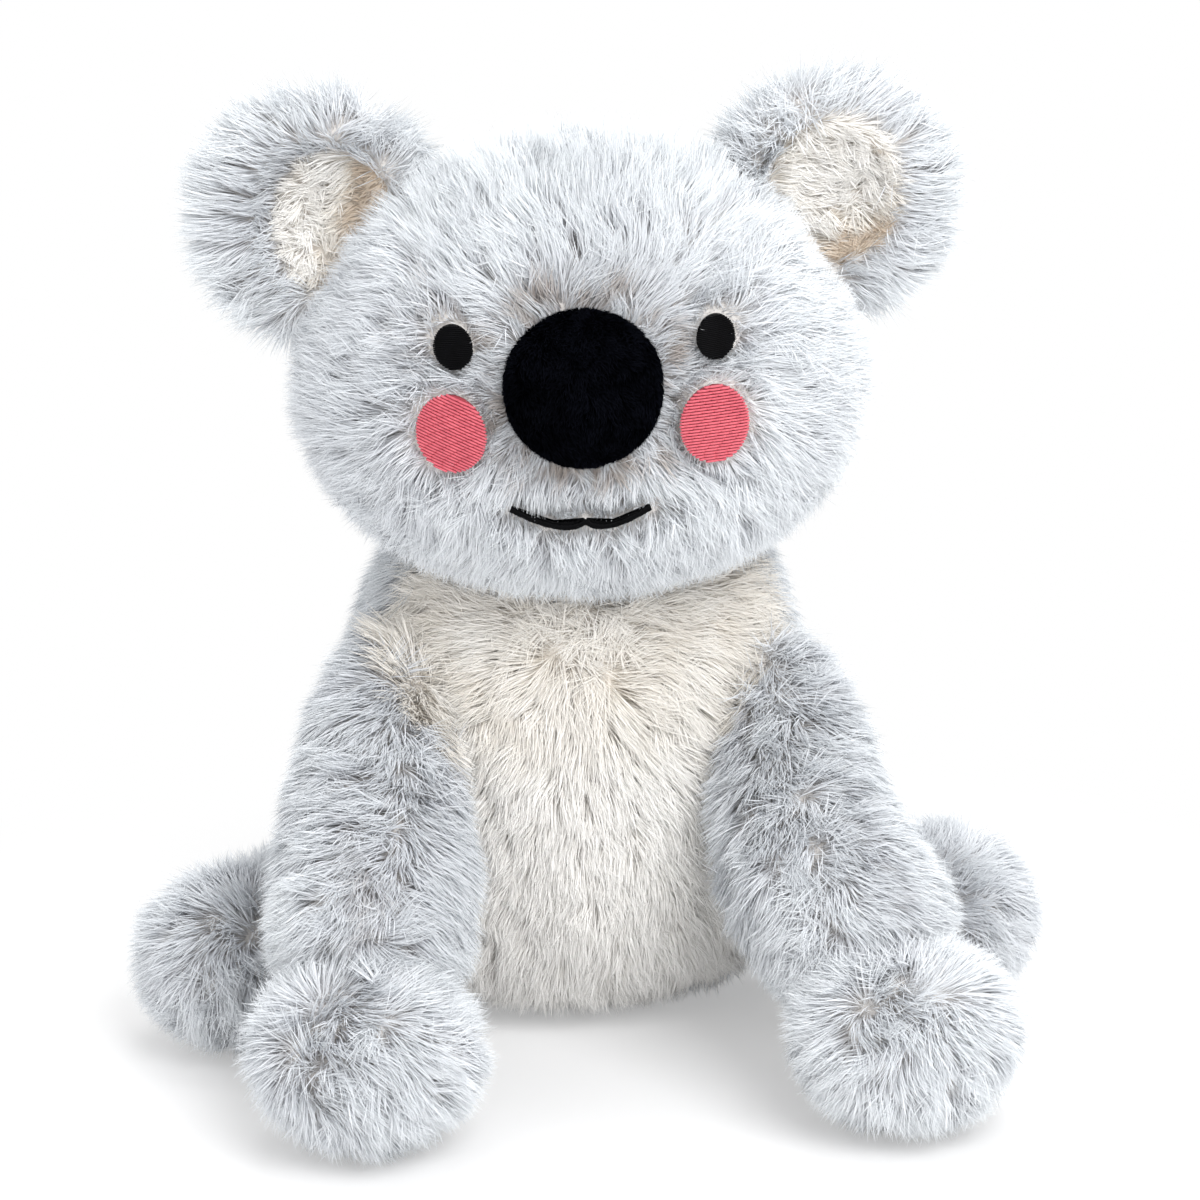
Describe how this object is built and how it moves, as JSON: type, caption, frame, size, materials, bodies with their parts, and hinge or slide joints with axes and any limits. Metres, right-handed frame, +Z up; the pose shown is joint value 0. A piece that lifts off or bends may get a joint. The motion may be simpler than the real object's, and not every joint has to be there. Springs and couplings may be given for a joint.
{
  "type": "plush hot water bottle",
  "caption": "Seated plush koala with cream chest and embroidered face; a rear pocket with a fold-down flap holds a small rubber hot water bottle with a screw stopper.",
  "frame": {"origin": "on the floor, at the middle of the area under the bounding box", "axes": "+Z up, the face looks along -Y, +X to the right of a viewer who looks at the face"},
  "size_m": [0.284, 0.2006, 0.2946],
  "materials": {
    "grey_fur": "long soft grey pile",
    "cream_fur": "soft cream pile",
    "filling": "white polyester filling",
    "black_pile": "short black pile",
    "black_thread": "black satin stitch",
    "pink_thread": "pink fill stitch",
    "lining": "plain woven lining",
    "fastener": "touch fastener",
    "rubber": "matt rubber with moulded ribs",
    "brass": "turned",
    "stopper_plastic": "moulded",
    "black_rubber": "matt"
  },
  "bodies": {
    "toy": {"head_skin": "grey_fur", "ear_left": "grey_fur", "ear_right": "grey_fur", "body_skin": "grey_fur", "arm_left_skin": "grey_fur", "arm_right_skin": "grey_fur", "leg_left_skin": "grey_fur", "leg_right_skin": "grey_fur", "ear_left_panel": "cream_fur", "ear_right_panel": "cream_fur", "chest_panel": "cream_fur", "head_filling": "filling", "body_filling": "filling", "arm_left_filling": "filling", "arm_right_filling": "filling", "leg_left_filling": "filling", "leg_right_filling": "filling", "nose": "black_pile", "eye_left": "black_thread", "eye_right": "black_thread", "mouth_left": "black_thread", "mouth_right": "black_thread", "cheek_left": "pink_thread", "cheek_right": "pink_thread", "pocket_lining": "lining", "loop_strip_top": "fastener", "loop_strip_left": "fastener", "loop_strip_right": "fastener"},
    "flap": {"back_flap": "grey_fur", "flap_lining": "lining", "hook_strip_top": "fastener", "hook_strip_left": "fastener", "hook_strip_right": "fastener"},
    "bottle": {"bottle": "rubber", "neck_insert": "brass"},
    "washer": {"washer": "black_rubber"},
    "stopper": {"stopper": "stopper_plastic"}
  },
  "joints": [
    {"name": "flap_fold", "type": "hinge", "parent": "toy", "child": "flap", "pos_m": [-0.0025, 0.09141, 0.0158], "axis": [-1, 0, 0], "range_deg": [0, 85]},
    {"name": "bottle_tilt", "type": "hinge", "parent": "toy", "child": "bottle", "pos_m": [-0.0025, 0.07431, 0.02], "axis": [-1, 0, 0], "range_deg": [0, 34]},
    {"name": "stopper_lift", "type": "slide", "parent": "bottle", "child": "washer", "axis": [0, 0, 1], "range_m": [0, 0.01]},
    {"name": "stopper_turn", "type": "hinge", "parent": "washer", "child": "stopper", "pos_m": [-0.0025, 0.06731, 0.116], "axis": [0, 0, 1], "range_deg": [0, 900]}
  ],
  "couplings": [
    {"joint": "bottle_tilt", "follows": "flap_fold", "ratio": 0.4},
    {"joint": "stopper_turn", "follows": "stopper_lift", "rad_per_m": 1570.8}
  ]
}
